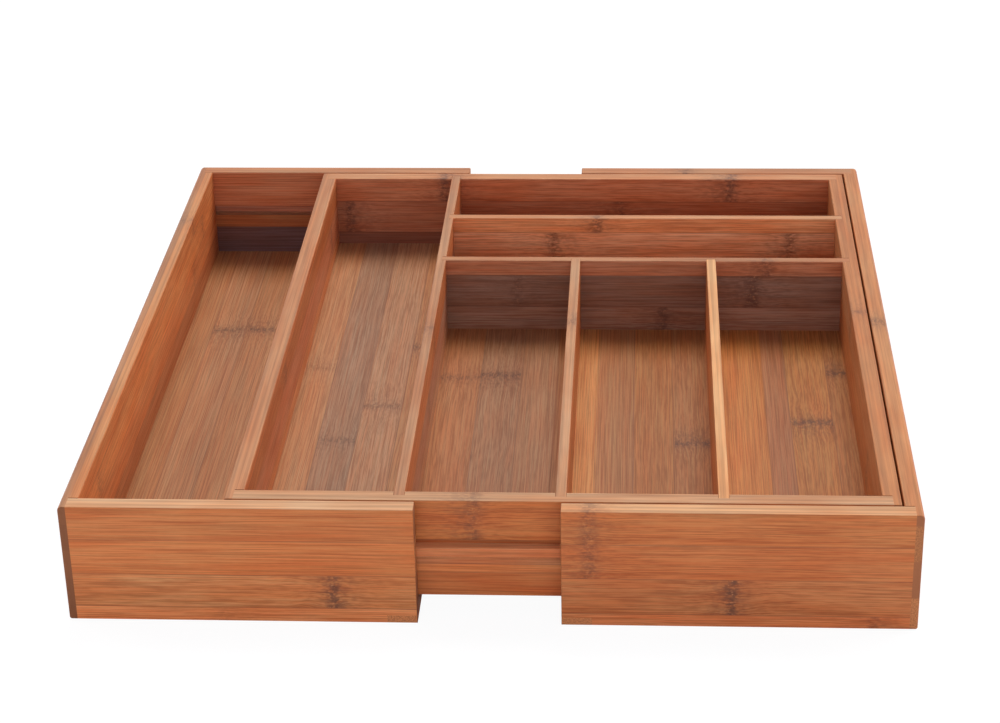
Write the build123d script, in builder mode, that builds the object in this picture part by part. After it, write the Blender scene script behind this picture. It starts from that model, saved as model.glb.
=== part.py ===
"""Expandable bamboo cutlery tray, in millimetres.

A centre tray with dividers is carried between two U-shaped frames, which slide out to the left and to the
right. A strip on the centre tray's front face and one on its back face run in grooves in the frames' rails.

+X is right, +Y is back and +Z is up. The origin is in the middle of the footprint, on the surface that the
tray stands on. The left frame is drawn pulled out and the right frame closed.
"""

from build123d import *
import os

# The whole tray
tray_depth = 430.0  # front to back, over the rails
tray_height = 65.0
center_width = 330.0  # the centre tray alone, over its side walls
pulled_out = 71.0  # how far the left frame stands out from closed

# Stock that the pieces are cut from
board = 9.0  # rails, end walls and the four sides of the centre tray
divider = 5.5
panel = 5.0  # floors

# Running clearances between the centre tray and the frames
side_gap = 1.0  # closed end wall to the centre tray's side wall
slide_gap = 0.7  # rail's inner face to the centre tray's front or back face
meeting_gap = 0.4  # between the free ends of the rails when both frames are closed
lift_gap = 1.0  # frame's floor to the underside of the centre tray

# Corner joints, housings and floor grooves
lip = 4.0  # what a rabbet leaves of a wall, to cover the end of the rail
housing = 4.0  # how far a divider is let into a board
shallow_housing = 2.5  # how far a divider is let into another divider
panel_tongue = 4.0  # how far a floor is let into the boards around it
panel_rise = 4.5  # underside of a floor above the bottom edge of its walls
batten_width = 15.0  # batten under the free edge of a frame's floor

# Slide strips and the grooves that they run in
strip_height = 5.0
strip_drop = 24.0  # top of the tray to the top of the strip
strip_reach = 5.3  # how far the strip stands out of the centre tray
strip_inset = 2.0  # how far the strip is let into the centre tray
groove_clearance = 0.5  # above the strip, and below it
tip_clearance = 0.5  # strip's outer face to the bottom of the groove

# Compartments of the centre tray
column_count = 4
cross_compartment = 56.0  # clear depth of the two compartments behind the short dividers

# Rounded edges
outer_round = 2.5  # long outer edges of the end walls, above
foot_round = 1.2  # the same edges below
edge_round = 0.7  # boards
divider_round = 0.5
strip_round = 0.5

# Widths worked out from the sizes above
closed_width = center_width + 2 * (side_gap + board)
open_width = closed_width + pulled_out
frame_length = (closed_width - meeting_gap) / 2

# Places of the frames, as distances from the middle
outer_x = open_width / 2
outer_y = tray_depth / 2
rail_inner_y = outer_y - board
panel_edge_y = rail_inner_y + panel_tongue
panel_top = panel_rise + panel

# Places of the centre tray
center_right_x = outer_x - board - side_gap
center_left_x = center_right_x - center_width
center_outer_y = rail_inner_y - slide_gap
center_inner_y = center_outer_y - board
center_bottom = panel_top + lift_gap
center_wall_height = tray_height - center_bottom
center_panel_bottom = center_bottom + panel_rise
center_panel_top = center_panel_bottom + panel
inner_left_x = center_left_x + board
inner_right_x = center_right_x - board

# Levels of the strip and of its groove
strip_top = tray_height - strip_drop
strip_bottom = strip_top - strip_height
groove_top = strip_top + groove_clearance
groove_bottom = strip_bottom - groove_clearance
groove_depth = strip_reach - slide_gap + tip_clearance

# Places of the dividers
divider_height = tray_height - center_panel_top
divider_end_y = center_inner_y + housing
column_width = (inner_right_x - inner_left_x - (column_count - 1) * divider) / column_count
column_pitch = column_width + divider
long_divider_x = inner_left_x + column_width
short_divider_places = {
    "left_short_divider": long_divider_x + column_pitch,
    "right_short_divider": long_divider_x + 2 * column_pitch,
}
rear_cross_y = center_inner_y - cross_compartment - divider
middle_cross_y = rear_cross_y - cross_compartment - divider

FRAMES = {"left": -1, "right": 1}
FACES = {"front": -1, "back": 1}


def rectangle(x_a, x_b, y_a, y_b, mode=Mode.ADD):
    """A rectangle between two opposite corners, in the plane of the sketch around it."""
    with Locations(((x_a + x_b) / 2, (y_a + y_b) / 2)):
        Rectangle(abs(x_b - x_a), abs(y_b - y_a), mode=mode)


def at_side(groups, side):
    """The last of the sorted groups on the right or back, the first on the left or front."""
    return groups[-1] if side > 0 else groups[0]


def top_edges(piece, along):
    """The long edges of a piece's upper face that run along an axis."""
    return piece.edges().filter_by(along).group_by(Axis.Z)[-1]


def bottom_edges(piece, along):
    """The long edges of a piece's lower face that run along an axis."""
    return piece.edges().filter_by(along).group_by(Axis.Z)[0]


def lip_edges(piece, side, end):
    """Outline of a lip's end face, without the seam that it shares with the rail."""
    outline = at_side(piece.faces().sort_by(Axis.Y), end).edges()
    seam = at_side(outline.filter_by(Axis.Z).sort_by(Axis.X), -side)
    return outline - [seam]


os.makedirs("parts", exist_ok=True)

# The two frames
for side_name, side in FRAMES.items():
    outside_x = side * outer_x
    shoulder_x = side * (outer_x - lip)
    inside_x = side * (outer_x - board)
    panel_edge_x = inside_x + side * panel_tongue
    free_x = side * (outer_x - frame_length)

    # End wall: a board as deep as the tray, with a rabbet at each end for a rail
    with BuildPart() as end_wall:
        with BuildSketch(Plane.XY):
            rectangle(outside_x, inside_x, -outer_y, outer_y)
            for end in FACES.values():
                rectangle(shoulder_x, inside_x, end * rail_inner_y, end * outer_y, Mode.SUBTRACT)
        extrude(amount=tray_height)
        with BuildSketch(Plane.XY.offset(panel_rise)):
            rectangle(panel_edge_x, inside_x, -rail_inner_y, rail_inner_y)
        extrude(amount=panel, mode=Mode.SUBTRACT)
        fillet(at_side(top_edges(end_wall, Axis.Y).group_by(Axis.X), side), outer_round)
        fillet(at_side(bottom_edges(end_wall, Axis.Y).group_by(Axis.X), side), foot_round)
        inner_top = at_side(top_edges(end_wall, Axis.Y).group_by(Axis.X), -side)
        fillet(inner_top, edge_round)
        for end in FACES.values():
            fillet(lip_edges(end_wall, side, end), edge_round)
    end_wall.part.label = side_name + "_end_wall"
    export_step(end_wall.part, "parts/" + side_name + "_end_wall.step")

    # Rails: boards grooved on the inside for the strip and for the floor, notched for the batten
    for end_name, end in FACES.items():
        with BuildPart() as rail:
            with BuildSketch(Plane.YZ.offset(shoulder_x)):
                rectangle(end * rail_inner_y, end * outer_y, 0, tray_height)
                rectangle(
                    end * rail_inner_y,
                    end * (rail_inner_y + groove_depth),
                    groove_bottom,
                    groove_top,
                    Mode.SUBTRACT,
                )
                rectangle(end * rail_inner_y, end * panel_edge_y, panel_rise, panel_top, Mode.SUBTRACT)
            extrude(amount=free_x - shoulder_x)
            with BuildSketch(Plane.XY):
                rectangle(free_x, free_x + side * batten_width, end * rail_inner_y, end * outer_y)
            extrude(amount=panel_rise, mode=Mode.SUBTRACT)
            free_end = at_side(rail.faces().filter_by(Axis.X).group_by(Axis.X), -side).edges()
            upright = free_end.filter_by(Axis.Z).group_by(Axis.Y)
            eased = upright[0] + upright[-1] + free_end.group_by(Axis.Z)[-1]
            eased = eased + top_edges(rail, Axis.X) + bottom_edges(rail, Axis.X)
            fillet(eased, edge_round)
        rail.part.label = side_name + "_" + end_name + "_rail"
        export_step(rail.part, "parts/" + side_name + "_" + end_name + "_rail.step")

    # Floor: let into the end wall and both rails, flush with their free ends
    with BuildPart() as floor:
        with BuildSketch(Plane.XY.offset(panel_rise)):
            rectangle(panel_edge_x, free_x, -panel_edge_y, panel_edge_y)
        extrude(amount=panel)
    floor.part.label = side_name + "_floor"
    export_step(floor.part, "parts/" + side_name + "_floor.step")

    # Tie batten: runs under the floor's free edge, through the notches of both rails
    with BuildPart() as batten:
        with BuildSketch(Plane.XY):
            rectangle(free_x, free_x + side * batten_width, -outer_y, outer_y)
        extrude(amount=panel_rise)
        free_end = at_side(batten.faces().filter_by(Axis.X).sort_by(Axis.X), -side).edges()
        fillet(free_end.filter_by(Axis.Z) + bottom_edges(batten, Axis.X), edge_round)
    batten.part.label = side_name + "_tie_batten"
    export_step(batten.part, "parts/" + side_name + "_tie_batten.step")

# Side walls of the centre tray: rabbeted for its rails, grooved for its floor
for side_name, side in FRAMES.items():
    outside_x = at_side([center_left_x, center_right_x], side)
    shoulder_x = outside_x - side * lip
    inside_x = outside_x - side * board
    with BuildPart() as side_wall:
        with BuildSketch(Plane.XY.offset(center_bottom)):
            rectangle(outside_x, inside_x, -center_outer_y, center_outer_y)
            for end in FACES.values():
                rectangle(shoulder_x, inside_x, end * center_inner_y, end * center_outer_y, Mode.SUBTRACT)
        extrude(amount=center_wall_height)
        with BuildSketch(Plane.XY.offset(center_panel_bottom)):
            rectangle(inside_x + side * panel_tongue, inside_x, -center_inner_y, center_inner_y)
        extrude(amount=panel, mode=Mode.SUBTRACT)
        outer_long = at_side(top_edges(side_wall, Axis.Y).group_by(Axis.X), side)
        inner_long = at_side(top_edges(side_wall, Axis.Y).group_by(Axis.X), -side)
        lower_long = at_side(bottom_edges(side_wall, Axis.Y).group_by(Axis.X), side)
        lip_ends = lip_edges(side_wall, side, -1) + lip_edges(side_wall, side, 1)
        fillet(outer_long + inner_long + lower_long + lip_ends, edge_round)
        with BuildSketch(Plane.XY.offset(strip_bottom)):
            for end in FACES.values():
                strip_seat_y = end * (center_outer_y - strip_inset)
                rectangle(outside_x, shoulder_x, strip_seat_y, end * center_outer_y)
        extrude(amount=strip_height, mode=Mode.SUBTRACT)
        if side > 0:
            with BuildSketch(Plane.XY.offset(center_panel_top)):
                for cross_y in (rear_cross_y, middle_cross_y):
                    rectangle(inside_x, inside_x + housing, cross_y, cross_y + divider)
            extrude(amount=divider_height, mode=Mode.SUBTRACT)
    side_wall.part.label = "center_" + side_name + "_wall"
    export_step(side_wall.part, "parts/center_" + side_name + "_wall.step")

# Rails of the centre tray: housed outside for the strip, inside for the floor and the dividers
for end_name, end in FACES.items():
    with BuildPart() as center_rail:
        with BuildSketch(Plane.YZ.offset(center_left_x + lip)):
            rectangle(end * center_inner_y, end * center_outer_y, center_bottom, tray_height)
            rectangle(
                end * (center_outer_y - strip_inset),
                end * center_outer_y,
                strip_bottom,
                strip_top,
                Mode.SUBTRACT,
            )
            rectangle(
                end * center_inner_y,
                end * (center_inner_y + panel_tongue),
                center_panel_bottom,
                center_panel_top,
                Mode.SUBTRACT,
            )
        extrude(amount=center_width - 2 * lip)
        fillet(top_edges(center_rail, Axis.X) + bottom_edges(center_rail, Axis.X), edge_round)
        housed = [long_divider_x]
        if end < 0:
            housed += short_divider_places.values()
        with BuildSketch(Plane.XY.offset(center_panel_top)):
            for divider_x in housed:
                rectangle(divider_x, divider_x + divider, end * center_inner_y, end * divider_end_y)
        extrude(amount=divider_height, mode=Mode.SUBTRACT)
    center_rail.part.label = "center_" + end_name + "_rail"
    export_step(center_rail.part, "parts/center_" + end_name + "_rail.step")

# Slide strips: let into the centre tray, standing out into the grooves of the frames' rails
for end_name, end in FACES.items():
    with BuildPart() as strip:
        with BuildSketch(Plane.XY.offset(strip_bottom)):
            strip_seat_y = end * (center_outer_y - strip_inset)
            strip_tip_y = end * (center_outer_y + strip_reach)
            rectangle(center_left_x, center_right_x, strip_seat_y, strip_tip_y)
        extrude(amount=strip_height)
        tip_face = at_side(strip.faces().filter_by(Axis.Y).sort_by(Axis.Y), end)
        fillet(tip_face.edges(), strip_round)
    strip.part.label = end_name + "_slide_strip"
    export_step(strip.part, "parts/" + end_name + "_slide_strip.step")

# Floor of the centre tray: let into its four sides
with BuildPart() as center_floor:
    with BuildSketch(Plane.XY.offset(center_panel_bottom)):
        rectangle(
            inner_left_x - panel_tongue,
            inner_right_x + panel_tongue,
            -center_inner_y - panel_tongue,
            center_inner_y + panel_tongue,
        )
    extrude(amount=panel)
center_floor.part.label = "center_floor"
export_step(center_floor.part, "parts/center_floor.step")

# Long divider: from the front rail to the back rail, housed for both cross dividers
with BuildPart() as long_divider:
    with BuildSketch(Plane.XY.offset(center_panel_top)):
        rectangle(long_divider_x, long_divider_x + divider, -divider_end_y, divider_end_y)
    extrude(amount=divider_height)
    fillet(top_edges(long_divider, Axis.Y), divider_round)
    with BuildSketch(Plane.XY.offset(center_panel_top)):
        housing_x = long_divider_x + divider - shallow_housing
        for cross_y in (rear_cross_y, middle_cross_y):
            rectangle(housing_x, long_divider_x + divider, cross_y, cross_y + divider)
    extrude(amount=divider_height, mode=Mode.SUBTRACT)
long_divider.part.label = "long_divider"
export_step(long_divider.part, "parts/long_divider.step")

# Cross dividers: from the long divider to the right wall
cross_start_x = long_divider_x + divider - shallow_housing
cross_end_x = inner_right_x + housing

with BuildPart() as rear_cross_divider:
    with BuildSketch(Plane.XY.offset(center_panel_top)):
        rectangle(cross_start_x, cross_end_x, rear_cross_y, rear_cross_y + divider)
    extrude(amount=divider_height)
    fillet(top_edges(rear_cross_divider, Axis.X), divider_round)
rear_cross_divider.part.label = "rear_cross_divider"
export_step(rear_cross_divider.part, "parts/rear_cross_divider.step")

with BuildPart() as middle_cross_divider:
    with BuildSketch(Plane.XY.offset(center_panel_top)):
        rectangle(cross_start_x, cross_end_x, middle_cross_y, middle_cross_y + divider)
    extrude(amount=divider_height)
    fillet(top_edges(middle_cross_divider, Axis.X), divider_round)
    with BuildSketch(Plane.XY.offset(center_panel_top)):
        for divider_x in short_divider_places.values():
            rectangle(divider_x, divider_x + divider, middle_cross_y, middle_cross_y + shallow_housing)
    extrude(amount=divider_height, mode=Mode.SUBTRACT)
middle_cross_divider.part.label = "middle_cross_divider"
export_step(middle_cross_divider.part, "parts/middle_cross_divider.step")

# Short dividers: from the front rail to the middle cross divider
for divider_name, divider_x in short_divider_places.items():
    with BuildPart() as short_divider:
        with BuildSketch(Plane.XY.offset(center_panel_top)):
            short_end_y = middle_cross_y + shallow_housing
            rectangle(divider_x, divider_x + divider, -divider_end_y, short_end_y)
        extrude(amount=divider_height)
        fillet(top_edges(short_divider, Axis.Y), divider_round)
    short_divider.part.label = divider_name
    export_step(short_divider.part, "parts/" + divider_name + ".step")
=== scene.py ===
"""Looks of the expandable bamboo cutlery tray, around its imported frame. Lengths are in metres,
except in the wood's own patterns, which are worked out in millimetres."""

import functools
import math

import bpy
import numpy as np
from mathutils import Matrix, Vector

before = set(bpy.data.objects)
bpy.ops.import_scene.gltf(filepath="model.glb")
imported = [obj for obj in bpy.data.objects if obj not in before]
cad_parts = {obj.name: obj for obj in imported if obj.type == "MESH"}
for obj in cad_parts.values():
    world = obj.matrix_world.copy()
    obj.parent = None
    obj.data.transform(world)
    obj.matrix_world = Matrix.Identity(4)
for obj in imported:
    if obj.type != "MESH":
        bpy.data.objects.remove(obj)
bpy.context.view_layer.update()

MM = 0.001
MM_PER_METRE = 1000.0

# Places of a Mix node's two colours among its inputs, and of the mixed colour among its outputs
MIX_FIRST = 6
MIX_SECOND = 7
MIX_RESULT = 2


class Number:
    """A number on a shader socket. Arithmetic with it adds Math nodes to its tree."""

    def __init__(self, tree, socket):
        self.tree = tree
        self.socket = socket

    def math(self, operation, *others, clamp=False):
        node = self.tree.nodes.new("ShaderNodeMath")
        node.operation = operation
        node.use_clamp = clamp
        for place, value in enumerate((self,) + others):
            plug(self.tree, node.inputs[place], value)
        return Number(self.tree, node.outputs[0])

    def __add__(self, other):
        return self.math("ADD", other)

    def __sub__(self, other):
        return self.math("SUBTRACT", other)

    def __mul__(self, other):
        return self.math("MULTIPLY", other)

    def __truediv__(self, other):
        return self.math("DIVIDE", other)

    __radd__ = __add__
    __rmul__ = __mul__

    def __rsub__(self, other):
        return (self * -1.0) + other

    def __gt__(self, other):
        return self.math("GREATER_THAN", other)

    def __abs__(self):
        return self.math("ABSOLUTE")

    def least(self, other):
        return self.math("MINIMUM", other)

    def clamp(self):
        return self.math("ADD", 0.0, clamp=True)

    def bell(self, width):
        """1 at zero, falling off as exp(-(x / width) squared)."""
        scaled = self / width
        return (scaled * scaled * -1.0).math("EXPONENT")


def plug(tree, socket, value):
    """Links a Number or a socket to a socket, or sets the socket to a plain value."""
    if isinstance(value, Number):
        tree.links.new(value.socket, socket)
    elif isinstance(value, bpy.types.NodeSocket):
        tree.links.new(value, socket)
    else:
        socket.default_value = value


class Finish:
    """The nodes of a material or of the world. Every node but the Math ones comes from node()."""

    def __init__(self, owner):
        owner.use_nodes = True
        self.owner = owner
        self.tree = owner.node_tree
        self.tree.nodes.clear()

    def node(self, kind, settings=None, inputs=None):
        """A node of a type, with its settings made first and then its inputs, by name or place."""
        node = self.tree.nodes.new(kind)
        for name, value in (settings or {}).items():
            if name == "stops":
                set_stops(node.color_ramp, value)
            else:
                setattr(node, name, value)
        for name, value in (inputs or {}).items():
            plug(self.tree, node.inputs[name], value)
        return node

    def number(self, socket):
        return Number(self.tree, socket)

    def axes(self):
        """The piece's own coordinates in millimetres, as three Numbers."""
        place = self.node("ShaderNodeTexCoord").outputs["Object"]
        split = self.node("ShaderNodeSeparateXYZ", None, {0: place})
        return [self.number(out) * MM_PER_METRE for out in split.outputs]

    def facing(self, axis):
        """How squarely the surface faces along an axis, from 0 to 1."""
        normal = self.node("ShaderNodeTexCoord").outputs["Normal"]
        split = self.node("ShaderNodeSeparateXYZ", None, {0: normal})
        return abs(self.number(split.outputs[axis]))

    def vector(self, x, y, z):
        return self.node("ShaderNodeCombineXYZ", None, {0: x, 1: y, 2: z}).outputs[0]

    def noise(self, x, y, z, detail=1.0):
        """Smooth noise from 0 to 1 at a place given in units of its grain size."""
        made = self.node(
            "ShaderNodeTexNoise",
            {"noise_dimensions": "3D"},
            {"Vector": self.vector(x, y, z), "Scale": 1.0, "Detail": detail},
        )
        return self.number(made.outputs["Fac"])

    def spread(self, value, low, high):
        """value taken smoothly from the range low..high to the range 0..1."""
        made = self.node(
            "ShaderNodeMapRange",
            {"interpolation_type": "SMOOTHSTEP"},
            {"Value": value, "From Min": low, "From Max": high},
        )
        return self.number(made.outputs[0])

    def ramp(self, factor, stops):
        """Colour and alpha that jump from one stop to the next."""
        made = self.node("ShaderNodeValToRGB", {"stops": stops}, {0: factor})
        return made.outputs["Color"], self.number(made.outputs["Alpha"])

    def mix(self, factor, first, second, blend="MIX"):
        """Colour between first (factor 0) and second (factor 1)."""
        made = self.node(
            "ShaderNodeMix",
            {"data_type": "RGBA", "blend_type": blend},
            {0: factor, MIX_FIRST: first, MIX_SECOND: second},
        )
        return made.outputs[MIX_RESULT]

    def scaled(self, colour, factor):
        """A colour made lighter or darker by a number."""
        if isinstance(colour, tuple):
            colour = colour[:3]
        made = self.node("ShaderNodeVectorMath", {"operation": "SCALE"}, {0: colour, "Scale": factor})
        return made.outputs[0]

    def close(self, shader, kind="ShaderNodeOutputMaterial"):
        """Leads the shader to an output, and gives back the material or the world."""
        self.node(kind, None, {"Surface": shader})
        return self.owner


def set_stops(ramp, stops):
    """Gives a ramp its stops, as (place from 0 to 1, colour with alpha), without blending."""
    ramp.interpolation = "CONSTANT"
    while len(ramp.elements) > 1:
        ramp.elements.remove(ramp.elements[-1])
    for order, (place, colour) in enumerate(stops):
        stop = ramp.elements[0] if order == 0 else ramp.elements.new(place)
        stop.position = place
        stop.color = colour


def rgb(red, green, blue):
    return (red, green, blue, 1.0)


# Tones of the strips that the boards are glued up from
ORANGE = (0.500, 0.151, 0.048)
AMBER = (0.469, 0.138, 0.041)
HONEY = (0.439, 0.140, 0.042)
BRICK = (0.408, 0.108, 0.029)
CHESTNUT = (0.378, 0.108, 0.029)
TAN = (0.439, 0.161, 0.059)
SAND = (0.459, 0.180, 0.075)
PINK = (0.408, 0.161, 0.065)
ASH = (0.375, 0.175, 0.085)

# Tones of the sawn upper edges, paler than the faces partly by their own tone and partly as painted sheen
PALE_EDGE = (0.592, 0.301, 0.143)
GOLD_EDGE = (0.600, 0.282, 0.120)
FAWN_EDGE = (0.501, 0.240, 0.110)
CLAY_EDGE = (0.417, 0.180, 0.080)
SAND_EDGE = (0.482, 0.228, 0.106)
STRAW_EDGE = (0.644, 0.307, 0.124)
RUSSET_EDGE = (0.504, 0.197, 0.070)
RUST_EDGE = (0.454, 0.161, 0.052)
COPPER_EDGE = (0.443, 0.179, 0.073)
AUBURN_EDGE = (0.530, 0.221, 0.090)
DULL_EDGE = (0.400, 0.165, 0.071)
# Painted light: a light tone for the ledges and the slide strips' tops lower down, which lie in shade
LEDGE_PAINTED_LIGHT = (0.840, 0.360, 0.155)

# Other colours of oiled bamboo
FIBRE_DARK = rgb(0.72, 0.64, 0.60)
FIBRE_LIGHT = rgb(1.13, 1.15, 1.17)
TINT_RED = rgb(1.03, 0.94, 0.89)
TINT_OLIVE = rgb(0.97, 1.05, 1.08)
CLOUD_RED = rgb(0.98, 0.88, 0.80)
CLOUD_GOLD = rgb(1.02, 1.12, 1.20)
BURNT = rgb(0.100, 0.042, 0.027)
DRY = rgb(0.62, 0.27, 0.11)
END_DARK = rgb(0.214, 0.074, 0.028)
END_TAN = rgb(0.438, 0.158, 0.053)

X, Y, Z = 0, 1, 2
RAMP_STEPS = 255  # a ramp is kept as a table of this many steps
LAST_WIDTH = 25.0  # no board's last strip is wider than this, mm
PLACE_SPAN = 500.0  # knuckles lie within half of this from the middle, mm
PLAIN = (-240.0, 0.0)  # stands for no knuckle, at a place that no board reaches
LOWEST_EDGE = 60.0  # flat faces lower down (ledges, the slide strips' tops and the undersides) get a light tone as painted light, mm
TAN_LUCK = 0.5  # strips luckier than this have stippled tan ends

# How far a knuckle's halo, haze and core reach along their strip, how far its middle wanders, its haze
# leans over and its fibres bend aside, mm
HALO = 24.0
HAZE = 10.5
CORE = 3.6
RIPPLE = 3.4
LEAN = 12.0
BEND = 5.0

# Length and thickness of the grains that the fibres' patterns are made of, mm
FINE_FIBRES = (42.0, 0.34)
BROAD_FIBRES = (65.0, 1.05)
SHORT_FIBRES = (4.5, 0.7)
PATCHES = (13.0, 1.4)
TINTS = (60.0, 0.75)
CLOUDS = (50.0, 10.0)

# Grains of the other patterns, along, across and into the board where nothing else is said, mm
WANDERS = (75.0, 18.0, 18.0)
CHURNS = (19.0, 6.0, 9.0)
SPECKS = (1.5, 1.15, 1.0)
MOTTLES = (3.4, 2.2, 2.2)
RIPPLES = (3.0, 6.0)  # across and into the board
BANDS = (150.0, 1.7)  # along and into the board
BLOTCHES = (26.0, 6.0)  # along and into the board
PORES = 0.7  # across and into the board alike

# What one step of a board's seed, or the whole of a strip's luck, shifts the patterns by, mm or grains
WANDER_SHIFT = 137.0
LANE_SHIFT = 53.0
LAYER_SHIFT = 31.0
CLOUD_SHIFT = 59.0
BAND_SHIFT = 83.0
BLOTCH_SHIFT = 47.0
LUCK_SHIFT = 40.0
RIPPLE_SHIFT = 17.0
TINT_SHIFT = 31.0  # of all tints, so that they don't follow the fibres

# How much more the fibres wander in a strip with a full knuckle, and how much of that goes into the board
KNUCKLE_WANDER = 2.0
DEPTH_WANDER = 0.7

# Shares of the fine and broad fibres. Short fibres and patches count with the first weight everywhere,
# with the second as far as the knuckle's halo or strip goes, and with the third in the knuckle's core.
FINE_SHARE = 0.64
BROAD_SHARE = 0.36
SHORT_WEIGHTS = (0.10, 0.45, 0.7)
PATCH_WEIGHTS = (0.05, 0.3)

# Ranges over which noise, or how squarely a surface faces along an axis, goes from none to all
FIBRE_RANGE = (0.33, 0.64)
SOFT_RANGE = (0.3, 0.7)
DOT_RANGE = (0.46, 0.62)
SPOT_RANGE = (0.38, 0.28)
MOTTLE_RANGE = (0.60, 0.40)
PORE_RANGE = (0.44, 0.58)
TOP_RANGE = (0.55, 0.85)
END_RANGE = (0.6, 0.8)

# Share of the clouds and strength of the knuckles' dots, on boards with a sawn edge and on the others
BOARD_PATTERN = (1.0, 0.42)
FLOOR_PATTERN = (0.55, 0.28)

# Lightness of a sawn edge: all over, in its bands, in its blotches and from its fibres
EDGE_LIGHT = (0.60, 0.32, 0.28, 0.35)

# Strength of a knuckle's colours: its halo, its haze and core (plain, and more where they are mottled)
# and its light spots
HALO_BURN = 0.05
HAZE_BURN = (0.07, 0.28)
CORE_BURN = (0.20, 0.18)
SPOT_LIGHT = 0.4

# Tan ends: the share of their dark stipples, and their lightness, which the strip's luck lowers. Dark
# ends: their lightness, all over, by the pores and by the strip's luck.
STIPPLE_SHARE = 0.6
STIPPLE_LIGHT = 1.9
END_LIGHT = (0.80, 0.2, 1.2)

# The glue lines' width in mm and strength, plain and by the fibres
GLUE_WIDTH = 0.28
GLUE_BURN = (0.15, 0.5)

# Sheen and relief of the oiled wood; fibres and cut ends change its roughness, dots are sunk
ROUGHNESS = 0.46
FIBRE_ROUGHNESS = 0.2
END_ROUGHNESS = 0.15
SPECULAR = 0.2
BUMP_STRENGTH = 0.3
BUMP_HEIGHT = 0.1 * MM
DOT_DEPTH = 0.5


def strip_tables(strips):
    """A board's strips as tables for its ramps.

    Gives where the ramps begin and how far they run, both in mm, the stops of the tones, the stops of the
    knuckles, and where each strip starts, moved to the nearest step of a ramp.
    """
    low = strips[0][0]
    span = strips[-1][0] + LAST_WIDTH - low
    tones = []
    joints = []
    starts = []
    for start, tone, luck, knuckles in strips:
        step = round((start - low) / span * RAMP_STEPS)
        stop = max(0.0, (step - 0.5) / RAMP_STEPS)
        pairs = list(knuckles) + [PLAIN] * (2 - len(knuckles))
        (first, first_strength), (second, second_strength) = pairs
        joint = (first / PLACE_SPAN + 0.5, first_strength, second / PLACE_SPAN + 0.5, second_strength)
        tones.append((stop, tone + (luck,)))
        joints.append((stop, joint))
        starts.append(low + step / RAMP_STEPS * span)
    return low, span, tones, joints, starts


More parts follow.
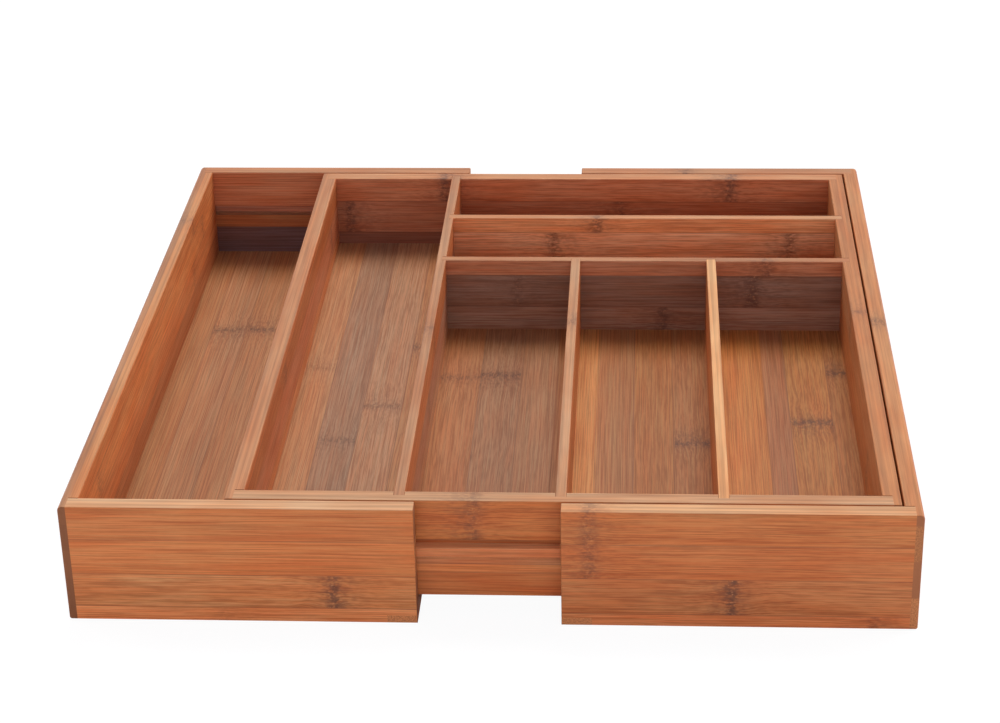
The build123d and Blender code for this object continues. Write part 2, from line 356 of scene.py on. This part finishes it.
class Bamboo(Finish):
    """The oiled laminated bamboo of one board.

    grain and width are the axes that the fibres and the strips' widths run along, seed sets the board's
    own pattern, and edge is the tone of its sawn upper edge or None. strips lists the strips in order, as
    (start in mm, tone, luck from 0 to 1, knuckles), and knuckles has up to two (place in mm, strength)
    pairs, the joints of the cane that the strip was cut from. A strip's luck shifts its fibres, and above
    a half its cut end is stippled tan instead of dark. A board whose strips' tones hold painted shade or
    painted light for the faces seen from the front can give the part of the board beyond a depth its
    unpainted tones, as (depth in mm where that part starts, 1 or -1 for the way it lies, tone of its sawn
    edge, unpainted tones of its strips).
    """

    def __init__(self, name, grain, width, seed, edge, strips, unpainted_far_side=None):
        super().__init__(bpy.data.materials.new(name))
        place = self.axes()
        self.grain = grain
        self.along = place[grain]
        self.across = place[width]
        self.depth = place[X + Y + Z - grain - width]
        self.seed = seed
        self.edge = None if edge is None else rgb(*edge)
        self.cloud_share, self.dot_strength = FLOOR_PATTERN if edge is None else BOARD_PATTERN
        self.lay_strips(strips, unpainted_far_side)
        self.place_knuckles()
        self.draw_fibres()

    def grains(self, size):
        """Noise in grains of a size along, across and into the board."""
        length, breadth, thickness = size
        return self.noise(self.along / length, self.across / breadth, self.depth / thickness + self.seed)

    def lay_strips(self, strips, unpainted_far_side):
        """Gives each strip its tone, luck and knuckles, from ramps that jump at the strips' edges."""
        low, span, tones, joints, self.starts = strip_tables(strips)
        factor = (self.across - low) / span
        self.tone, self.luck = self.ramp(factor, tones)
        # Beyond a depth, unpainted tones replace the tones that hold painted shade or painted light
        if unpainted_far_side is not None:
            start, way, far_side_edge, unpainted_tones = unpainted_far_side
            stops = [(stop, rgb(*unpainted_tone)) for (stop, _), unpainted_tone in zip(tones, unpainted_tones)]
            beyond = (self.depth - start) * way > 0.0
            self.tone = self.mix(beyond, self.tone, self.ramp(factor, stops)[0])
            self.edge = self.mix(beyond, self.edge, rgb(*far_side_edge))
        packed, self.second_strength = self.ramp(factor, joints)
        parts = self.node("ShaderNodeSeparateColor", None, {0: packed}).outputs
        self.first_place = (self.number(parts[0]) - 0.5) * PLACE_SPAN
        self.first_strength = self.number(parts[1])
        self.second_place = (self.number(parts[2]) - 0.5) * PLACE_SPAN

    def place_knuckles(self):
        """Finds the halo, haze and core of the knuckles.

        A knuckle's middle wanders a little from fibre to fibre, and its haze lies more on one side.
        """
        breadth, thickness = RIPPLES
        own = self.luck * RIPPLE_SHIFT + self.seed
        ripple = self.noise(self.across / breadth, self.depth / thickness, own, detail=2.0) - 0.5
        lean = (self.luck - 0.5) * LEAN
        first_away = self.along - self.first_place + ripple * RIPPLE
        second_away = self.along - self.second_place + ripple * RIPPLE

        def both(first, second, reach):
            return first.bell(reach) * self.first_strength + second.bell(reach) * self.second_strength

        self.halo = both(first_away, second_away, HALO)
        self.haze = both(first_away + lean, second_away - lean, HAZE)
        self.core = both(first_away, second_away, CORE)
        speck = self.grains(SPECKS)
        self.dots = (self.core * self.spread(speck, *DOT_RANGE)).clamp()
        self.spots = (self.core * self.spread(speck, *SPOT_RANGE)).clamp()

    def draw_fibres(self):
        """Draws the fibres along the board, wandering slowly, and short and bent beside a knuckle."""
        length, breadth, thickness = WANDERS
        start = self.along + self.seed * WANDER_SHIFT
        wander = self.noise(start / length, self.across / breadth, self.depth / thickness, detail=2.0)
        wander = (wander - 0.5) * (1.0 + self.first_strength * KNUCKLE_WANDER)
        churn = self.grains(CHURNS) - 0.5
        lane = self.across + wander + churn * self.halo * BEND
        lane = lane + self.luck * LUCK_SHIFT + self.seed * LANE_SHIFT
        layer = self.depth + wander * DEPTH_WANDER + self.seed * LAYER_SHIFT

        def fibres(size, place=self.along, aside=0.0, detail=1.0):
            length, thickness = size
            return self.noise(place / length, lane / thickness + aside, layer / thickness, detail=detail)

        self.fine = fibres(FINE_FIBRES)
        self.broad = fibres(BROAD_FIBRES)
        short = fibres(SHORT_FIBRES) - 0.5
        patch = fibres(PATCHES) - 0.5
        tint = fibres(TINTS, aside=TINT_SHIFT)
        cloud = fibres(CLOUDS, place=self.along + self.seed * CLOUD_SHIFT, detail=2.0)
        everywhere, by_halo, by_core = SHORT_WEIGHTS
        self.fibre = self.fine * FINE_SHARE + self.broad * BROAD_SHARE
        self.fibre = self.fibre + short * (self.halo * by_halo + self.core * by_core + everywhere)
        everywhere, by_strip = PATCH_WEIGHTS
        self.fibre = self.fibre + patch * (self.first_strength * by_strip + everywhere)
        self.drift = self.mix(self.spread(cloud, *SOFT_RANGE), CLOUD_RED, CLOUD_GOLD)
        self.hue = self.mix(self.spread(tint, *SOFT_RANGE), TINT_RED, TINT_OLIVE)

    def wood(self):
        """The strips' tones under the fibres, clouds and tints."""
        pattern = self.mix(self.spread(self.fibre, *FIBRE_RANGE), FIBRE_DARK, FIBRE_LIGHT)
        colour = self.mix(1.0, self.tone, pattern, blend="MULTIPLY")
        colour = self.mix(self.cloud_share, colour, self.drift, blend="MULTIPLY")
        return self.mix(1.0, colour, self.hue, blend="MULTIPLY")

    def sawn_edge_and_painted_light(self):
        """The sawn upper edge, in the long bands of its layers, paler partly as painted sheen. Flat faces
        lower down (ledges, the slide strips' tops and the undersides) get a light tone instead, as painted
        light.
        """
        length, thickness = BANDS
        place = self.along + self.seed * BAND_SHIFT
        band = self.noise(place / length, self.depth / thickness, self.seed, detail=2.0)
        length, thickness = BLOTCHES
        place = self.along + self.seed * BLOTCH_SHIFT
        blotch = self.noise(place / length, self.depth / thickness, self.seed, detail=2.0)
        plain, by_band, by_blotch, by_fibre = EDGE_LIGHT
        light = plain + self.spread(band, *SOFT_RANGE) * by_band
        light = light + blotch * by_blotch + (self.fine - 0.5) * by_fibre
        # Below LOWEST_EDGE the flat faces take the light ledge tone, painted light where the ledges lie in
        # shade
        tone = self.mix(self.across > LOWEST_EDGE, rgb(*LEDGE_PAINTED_LIGHT), self.edge)
        return self.mix(1.0, self.scaled(tone, light), self.drift, blend="MULTIPLY")

    def glued(self, colour):
        """A colour with the dark glue lines between the strips. On the left back rail, the line at the
        strip edge set under the groove's upper lip is a painted shadow.
        """
        distances = [abs(self.across - start) for start in self.starts[1:]]
        if not distances:
            return colour
        plain, by_fibre = GLUE_BURN
        near = functools.reduce(Number.least, distances).bell(GLUE_WIDTH)
        return self.mix(near * (plain + by_fibre * self.broad), colour, BURNT)

    def knuckled(self, colour):
        """A colour with the knuckles: a dull haze around a ragged column of dark dots."""
        mottle = self.spread(self.grains(MOTTLES), *MOTTLE_RANGE)
        plain, by_mottle = HAZE_BURN
        haze = self.haze * (plain + by_mottle * mottle)
        plain, by_mottle = CORE_BURN
        core = self.core * (plain + by_mottle * mottle)
        colour = self.mix((self.halo * HALO_BURN).clamp(), colour, BURNT)
        colour = self.mix((haze + core).clamp(), colour, BURNT)
        colour = self.mix(self.dots * self.dot_strength, colour, BURNT)
        return self.mix(self.spots * SPOT_LIGHT, colour, DRY)

    def cut_end(self):
        """The cut ends of the fibres, stippled tan on some strips and dark on the others."""
        pore = self.noise(self.across / PORES, self.depth / PORES, self.seed)
        stipple = self.mix(self.spread(pore, *PORE_RANGE) * STIPPLE_SHARE, END_TAN, END_DARK)
        stipple = self.scaled(stipple, STIPPLE_LIGHT - self.luck)
        plain, by_pore, by_luck = END_LIGHT
        dark = self.scaled(END_DARK, plain + pore * by_pore + self.luck * by_luck)
        return self.mix(self.luck > TAN_LUCK, dark, stipple)

    def material(self):
        """The material, with all of its parts put together."""
        colour = self.wood()
        if self.edge is not None:
            # Faces turned up or down take the sawn edge's tone, paler partly as painted sheen
            top = self.spread(self.facing(Z), *TOP_RANGE)
            colour = self.mix(top, colour, self.sawn_edge_and_painted_light())
        colour = self.knuckled(self.glued(colour))
        end = self.spread(self.facing(self.grain), *END_RANGE)
        colour = self.mix(end, colour, self.cut_end())
        height = self.fibre - self.dots * DOT_DEPTH
        relief = {"Strength": BUMP_STRENGTH, "Distance": BUMP_HEIGHT, "Height": height}
        bump = self.node("ShaderNodeBump", None, relief)
        surface = self.node(
            "ShaderNodeBsdfPrincipled",
            None,
            {
                "Base Color": colour,
                "Roughness": ROUGHNESS + (0.5 - self.fine) * FIBRE_ROUGHNESS + end * END_ROUGHNESS,
                "Specular IOR Level": SPECULAR,
                "Normal": bump.outputs[0],
            },
        )
        return self.close(surface.outputs[0])


# What hidden strips are drawn from: their widths, the place and strength of a cane's first knuckle, the way
# to its second and the strength of that, and the least width of a last strip. Lengths are in mm.
STRIP_WIDTHS = (19.5, 21.0)
FIRST_KNUCKLES = (-200.0, -10.0)
FIRST_STRENGTHS = (0.4, 1.0)
KNUCKLE_GAPS = (180.0, 230.0)
SECOND_STRENGTH = 0.7
LEAST_WIDTH = 3.0


def lay_up(seed, low, high, first, palette):
    """Strips for a board, or a part of one, that can't be seen, each with its cane's knuckles."""
    dice = np.random.RandomState(seed)
    strips = []
    start = low
    following = first
    while start < high - LEAST_WIDTH:
        tone = palette[dice.randint(len(palette))]
        knuckle = dice.uniform(*FIRST_KNUCKLES)
        nearer = (knuckle, dice.uniform(*FIRST_STRENGTHS))
        further = (knuckle + dice.uniform(*KNUCKLE_GAPS), SECOND_STRENGTH)
        strips.append((start, tone, dice.uniform(0.0, 1.0), (nearer, further)))
        start = following
        following = following + dice.uniform(*STRIP_WIDTHS)
    return strips


# Each board: grain axis, width axis, seed, tone of the sawn edge, strips
# On faces that lie in shade from the front, some strips' tones below are darker as painted shade or lighter
# as painted light, and greyer and bluer as a painted haze; the notes at those boards say where
BOARDS = {
    "left_front_rail": (
        X, Z, 1.0, PALE_EDGE,
        [
            (0.0, (0.669, 0.225, 0.073), 0.10, ((-132.0, 0.2),)),
            (8.0, (0.532, 0.187, 0.059), 0.40, ((-76.8, 1.0),)),
            (27.0, (0.538, 0.166, 0.046), 0.70, ()),
            (46.5, (0.497, 0.154, 0.043), 0.30, ()),
        ],
    ),
    "right_front_rail": (
        X, Z, 2.0, GOLD_EDGE,
        [
            (0.0, (0.592, 0.175, 0.054), 0.20, ((189.0, 0.5),)),
            (7.0, (0.470, 0.146, 0.044), 0.55, ((119.0, 1.0),)),
            (27.2, (0.491, 0.147, 0.042), 0.85, ((50.0, 0.6),)),
            (46.5, (0.488, 0.153, 0.043), 0.35, ((49.0, 0.6),)),
        ],
    ),
    # Seen from the front: the lowest strip's dark grey tone is mostly painted shade at the foot of the
    # inner face; the strip from 35.5 mm lies in the groove and is lightened as painted light, and its glue
    # line at 41.5 mm is a painted shadow under the groove's upper lip
    "left_back_rail": (
        X, Z, 3.0, COPPER_EDGE,
        [
            (0.0, (0.151, 0.079, 0.067), 0.15, ()),
            (27.0, (0.374, 0.119, 0.037), 0.60, ()),
            (35.5, (0.508, 0.208, 0.116), 0.35, ()),
            (41.5, (0.526, 0.166, 0.065), 0.90, ()),
        ],
    ),
    "right_back_rail": (X, Z, 4.0, COPPER_EDGE, lay_up(4, 0.0, 65.0, 12.0, (AMBER, BRICK, HONEY))),
    # The strips' tones are lighter as painted light on the inner face, which lies in shade
    "left_end_wall": (
        Y, Z, 5.0, RUSSET_EDGE,
        [
            (0.0, (0.453, 0.151, 0.054), 0.04, ()),
            (24.0, (0.556, 0.171, 0.054), 0.09, ((120.0, 0.4),)),
            (40.0, (0.627, 0.201, 0.061), 0.02, ((-163.0, 0.5), (160.0, 0.5))),
            (55.0, (0.584, 0.182, 0.056), 0.07, ((129.7, 0.5),)),
        ],
    ),
    "right_end_wall": (
        Y, Z, 6.0, RUSSET_EDGE,
        [
            (0.0, AMBER, 0.75, ()),
            (18.0, BRICK, 0.45, ((70.0, 0.8),)),
            (39.0, AMBER, 0.95, ()),
            (58.7, ORANGE, 0.40, ((-5.9, 0.8),)),
        ],
    ),
    # The duller strip from 29.0 mm is a painted shadow below the slide strip, and the dark strip from 36.5
    # mm is painted shade just above it
    "center_front_rail": (
        X, Z, 7.0, FAWN_EDGE,
        [
            (0.0, (0.464, 0.127, 0.033), 0.25, ()),
            (24.0, (0.546, 0.167, 0.047), 0.65, ()),
            (29.0, (0.443, 0.146, 0.050), 0.60, ()),
            (36.5, (0.372, 0.098, 0.026), 0.92, ()),
            (42.8, (0.462, 0.130, 0.031), 0.95, ((-7.0, 0.7),)),
        ],
    ),
    # The lowest strip's dark tone is painted shade low on the inner face, and the tones are bluer as a
    # painted haze
    "center_back_rail": (
        X, Z, 8.0, AUBURN_EDGE,
        [
            (0.0, (0.245, 0.086, 0.045), 0.35, ()),
            (28.0, (0.427, 0.142, 0.062), 0.75, ((60.5, 0.6), (-112.5, 0.9))),
            (49.5, (0.513, 0.158, 0.062), 0.05, ((-51.5, 1.0), (130.5, 1.0))),
        ],
    ),
    "center_left_wall": (
        Y, Z, 9.0, COPPER_EDGE,
        [
            (0.0, (0.539, 0.185, 0.068), 0.15, ()),
            (28.0, (0.451, 0.134, 0.055), 0.55, ((160.0, 0.7),)),
            (48.0, (0.397, 0.109, 0.032), 0.85, ((-50.0, 0.6),)),
            (60.0, (0.474, 0.135, 0.043), 0.35, ()),
        ],
    ),
    "center_right_wall": (
        Y, Z, 10.0, RUST_EDGE,
        [
            (0.0, HONEY, 0.45, ()),
            (26.0, HONEY, 0.85, ((-120.0, 0.6),)),
            (46.0, TAN, 0.10, ((6.8, 0.6),)),
        ],
    ),
    "center_floor": (
        Y, X, 11.0, None,
        [
            (-124.5, (0.468, 0.212, 0.090), 0.10, ((21.0, 0.35),)),
            (-103.0, (0.383, 0.193, 0.100), 0.60, ((-65.0, 0.55),)),
            (-81.3, (0.504, 0.244, 0.116), 0.25, ((-25.0, 0.6),)),
            (-59.5, (0.467, 0.201, 0.077), 0.80, ((49.0, 0.7),)),
            (-43.8, (0.423, 0.166, 0.061), 0.45, ((10.0, 0.6),)),
            (-18.0, (0.396, 0.181, 0.082), 0.95, ((14.0, 0.95),)),
            (5.2, (0.422, 0.191, 0.083), 0.30, ((-150.0, 0.4),)),
            (27.0, (0.396, 0.152, 0.051), 0.70, ()),
            (36.0, (0.564, 0.233, 0.072), 0.15, ()),
            (49.5, (0.427, 0.177, 0.065), 0.55, ()),
            (70.8, (0.468, 0.181, 0.055), 0.85, ((150.0, 0.6),)),
            (92.0, (0.429, 0.172, 0.059), 0.05, ((-66.0, 1.0),)),
            (114.8, (0.528, 0.192, 0.047), 0.65, ()),
            (144.5, (0.430, 0.165, 0.062), 0.40, ()),
            (157.0, (0.499, 0.194, 0.052), 0.90, ((-40.0, 1.0),)),
            (179.5, (0.433, 0.167, 0.050), 0.20, ((18.0, 1.0),)),
        ],
    ),
    "left_floor": (
        Y, X, 12.0, None,
        [
            (-206.5, (0.452, 0.197, 0.076), 0.50, ()),
            (-186.5, (0.494, 0.229, 0.097), 0.15, (PLAIN, (91.0, 0.85))),
            (-166.0, (0.512, 0.225, 0.086), 0.75, (PLAIN, (91.0, 0.85))),
        ]
        + lay_up(12, -145.0, -35.0, -124.5, (TAN, HONEY, PINK, ASH)),
    ),
    "right_floor": (Y, X, 13.0, None, lay_up(13, 35.0, 206.5, 52.0, (TAN, HONEY, PINK, SAND, ASH))),
    "long_divider": (
        Y, Z, 14.0, CLAY_EDGE,
        [
            (0.0, (0.438, 0.199, 0.100), 0.20, ()),
            (30.0, (0.372, 0.147, 0.078), 0.60, ((-60.0, 0.6),)),
            (47.0, (0.452, 0.133, 0.043), 0.90, ((-15.6, 0.6),)),
        ],
    ),
    # The upper strips are lighter as painted light on the front face, which lies in shade, and bluer as a
    # painted haze
    "rear_cross_divider": (
        X, Z, 15.0, AUBURN_EDGE,
        [
            (0.0, ORANGE, 0.30, ()),
            (35.0, (0.775, 0.356, 0.166), 0.10, ((19.8, 0.8), (165.0, 0.8))),
            (55.3, (0.713, 0.257, 0.092), 0.70, ((47.3, 0.8),)),
        ],
    ),
    # The lower two strips are darker as painted shade on the front face, and all three are bluer as a
    # painted haze
    "middle_cross_divider": (
        X, Z, 16.0, COPPER_EDGE,
        [
            (0.0, (0.346, 0.171, 0.100), 0.50, ((87.3, 0.8),)),
            (35.0, (0.272, 0.131, 0.077), 0.05, ((0.7, 0.5), (139.8, 1.0))),
            (55.2, (0.506, 0.180, 0.079), 0.85, ((147.3, 0.8),)),
        ],
    ),
    "left_short_divider": (
        Y, Z, 17.0, SAND_EDGE,
        [
            (0.0, BRICK, 0.40, ()),
            (30.0, CHESTNUT, 0.80, ((-110.0, 0.6),)),
            (50.0, AMBER, 0.15, ((-7.8, 0.6),)),
        ],
    ),
    "right_short_divider": (
        Y, Z, 18.0, STRAW_EDGE,
        [
            (0.0, BRICK, 0.65, ()),
            (32.0, AMBER, 0.25, ((-90.0, 0.6),)),
            (52.0, HONEY, 0.95, ()),
        ],
    ),
    "front_slide_strip": (X, Z, 19.0, COPPER_EDGE, [(30.0, ORANGE, 0.45, ())]),
    "back_slide_strip": (X, Z, 20.0, COPPER_EDGE, [(30.0, ORANGE, 0.55, ())]),
    # The battens' luck of 0.55 makes their stippled cut ends lighter, as painted light on ends that lie in
    # shade
    "left_tie_batten": (Y, X, 21.0, None, [(-60.0, AMBER, 0.55, ())]),
    "right_tie_batten": (Y, X, 22.0, None, [(30.0, AMBER, 0.55, ())]),
}

# Boards whose strips' tones above hold painted shade or painted light on the faces seen from the front,
# and the part beyond a depth that keeps unpainted tones: where that part starts in mm, which way it lies,
# the tone of its sawn edge, the unpainted tones of its strips
UNPAINTED_FAR_SIDES = {
    "left_back_rail": (212.0, 1.0, COPPER_EDGE, (AMBER, HONEY, BRICK, AMBER)),
    "left_end_wall": (-206.0, -1.0, DULL_EDGE, (AMBER, HONEY, AMBER, BRICK)),
    "center_back_rail": (200.8, 1.0, AUBURN_EDGE, (HONEY, AMBER, BRICK)),
    "rear_cross_divider": (137.5, 1.0, AUBURN_EDGE, (AMBER, HONEY, AMBER)),
    "middle_cross_divider": (76.0, 1.0, COPPER_EDGE, (HONEY, AMBER, BRICK)),
}

for node_name, (grain, width, seed, edge, strips) in BOARDS.items():
    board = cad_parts[node_name]
    board.data.materials.clear()
    unpainted_far_side = UNPAINTED_FAR_SIDES.get(node_name)
    wood = Bamboo(node_name + "_bamboo", grain, width, seed, edge, strips, unpainted_far_side)
    board.data.materials.append(wood.material())


# The camera stands in front and looks down at the tray. The sensor's width is in mm, the picture's width
# and the focal length are in pixels, and the angles in degrees.
SENSOR_WIDTH = 36.0
PICTURE_WIDTH = 1000.0
FOCAL_LENGTH = 2413.5
CAMERA_PLACE = Vector((0.0736, -1.2169, 0.6625))
CAMERA_PITCH = 27.2
CAMERA_YAW = 3.73
CAMERA_ROLL = -1.335

# Colours of the light, and the strength of the soft light from all sides
WHITE = (1.0, 1.0, 1.0)
COOL = (0.96, 1.0, 1.16)
SKY = (0.92, 1.08, 1.50)
AMBIENT = 0.13

# Broad soft lights from far away: azimuth (0 is behind the tray, 90 on its right), elevation and spread
# in degrees, strength as a share of pi, colour
SUNS = {
    "key": (5.0, 58.0, 28.0, 0.52, WHITE),
    "right_fill": (64.0, 37.0, 36.0, 0.57, WHITE),
    "left_fill": (-64.0, 37.0, 36.0, 0.33, WHITE),
    "front_fill": (180.0, 14.0, 22.0, 0.17, COOL),
    "front_right_fill": (142.0, 18.0, 36.0, 0.14, COOL),
    "front_left_fill": (222.0, 18.0, 36.0, 0.10, COOL),
}

# A low reflector card in front of the tray, which isn't seen itself
CARD_PLACE = Vector((0.0, -0.9, 0.035))
CARD_TARGET = Vector((0.0, 0.0, 0.035))
CARD_WIDTH = 2.4
CARD_HEIGHT = 0.06
CARD_POWER = 1.0

# The white floor: half its side, its own tone, its glow, and the share of that the camera sees
FLOOR_REACH = 6.0
FLOOR_TONE = rgb(0.9, 0.9, 0.9)
FLOOR_GLOW = 1.05
GLOW_SHARE = 0.9


def add_camera():
    data = bpy.data.cameras.new("camera")
    data.sensor_width = SENSOR_WIDTH
    data.lens = FOCAL_LENGTH * (SENSOR_WIDTH / PICTURE_WIDTH)
    camera = bpy.data.objects.new("camera", data)
    turn = Matrix.Rotation(math.radians(CAMERA_YAW), 4, "Z")
    turn = turn @ Matrix.Rotation(math.radians(90.0 - CAMERA_PITCH), 4, "X")
    turn = turn @ Matrix.Rotation(math.radians(CAMERA_ROLL), 4, "Z")
    camera.matrix_world = Matrix.Translation(CAMERA_PLACE) @ turn
    bpy.context.scene.collection.objects.link(camera)
    bpy.context.scene.camera = camera


def add_sun(name, azimuth, elevation, spread, strength, colour):
    data = bpy.data.lights.new(name, "SUN")
    data.energy = strength
    data.color = colour
    data.angle = math.radians(spread)
    round_it = math.radians(azimuth)
    up = math.radians(elevation)
    way = Vector((math.sin(round_it) * math.cos(up), math.cos(round_it) * math.cos(up), math.sin(up)))
    lamp = bpy.data.objects.new(name, data)
    lamp.rotation_euler = way.to_track_quat("Z", "Y").to_euler()
    bpy.context.scene.collection.objects.link(lamp)


def add_card():
    data = bpy.data.lights.new("front_card", "AREA")
    data.shape = "RECTANGLE"
    data.size = CARD_WIDTH
    data.size_y = CARD_HEIGHT
    data.energy = CARD_POWER
    lamp = bpy.data.objects.new("front_card", data)
    lamp.location = CARD_PLACE
    lamp.rotation_euler = (CARD_TARGET - CARD_PLACE).to_track_quat("-Z", "Y").to_euler()
    lamp.visible_camera = False
    bpy.context.scene.collection.objects.link(lamp)


def light_the_world(ambient):
    """White for the camera and for reflections, and a soft ambient for everything else."""
    finish = Finish(bpy.data.worlds.new("studio"))
    rays = finish.node("ShaderNodeLightPath")
    camera = finish.number(rays.outputs["Is Camera Ray"])
    glossy = finish.number(rays.outputs["Is Glossy Ray"])
    clear = finish.number(rays.outputs["Is Transmission Ray"])
    seen = (camera + glossy + clear).clamp()
    dim = rgb(*(ambient * part for part in SKY))
    sky = finish.node("ShaderNodeBackground", None, {"Color": finish.mix(seen, dim, rgb(*WHITE))})
    bpy.context.scene.world = finish.close(sky.outputs[0], "ShaderNodeOutputWorld")


def add_floor():
    """A white floor that keeps a faint shadow of the tray."""
    reach = FLOOR_REACH
    corners = [(-reach, -reach, 0.0), (reach, -reach, 0.0), (reach, reach, 0.0), (-reach, reach, 0.0)]
    mesh = bpy.data.meshes.new("floor")
    mesh.from_pydata(corners, [], [(0, 1, 2, 3)])
    floor = bpy.data.objects.new("floor", mesh)
    bpy.context.scene.collection.objects.link(floor)
    finish = Finish(bpy.data.materials.new("white_floor"))
    rays = finish.node("ShaderNodeLightPath")
    seen = finish.number(rays.outputs["Is Camera Ray"]) * GLOW_SHARE
    matt = finish.node("ShaderNodeBsdfDiffuse", None, {"Color": FLOOR_TONE})
    glow = finish.node("ShaderNodeEmission", None, {"Color": rgb(*WHITE), "Strength": FLOOR_GLOW})
    blend = finish.node(
        "ShaderNodeMixShader",
        None,
        {0: seen, 1: matt.outputs[0], 2: glow.outputs[0]},
    )
    mesh.materials.append(finish.close(blend.outputs[0]))


add_camera()
for sun_name, (azimuth, elevation, spread, share, colour) in SUNS.items():
    add_sun(sun_name, azimuth, elevation, spread, share * math.pi, colour)
add_card()
light_the_world(AMBIENT)
add_floor()

bpy.context.scene.view_settings.view_transform = "Standard"
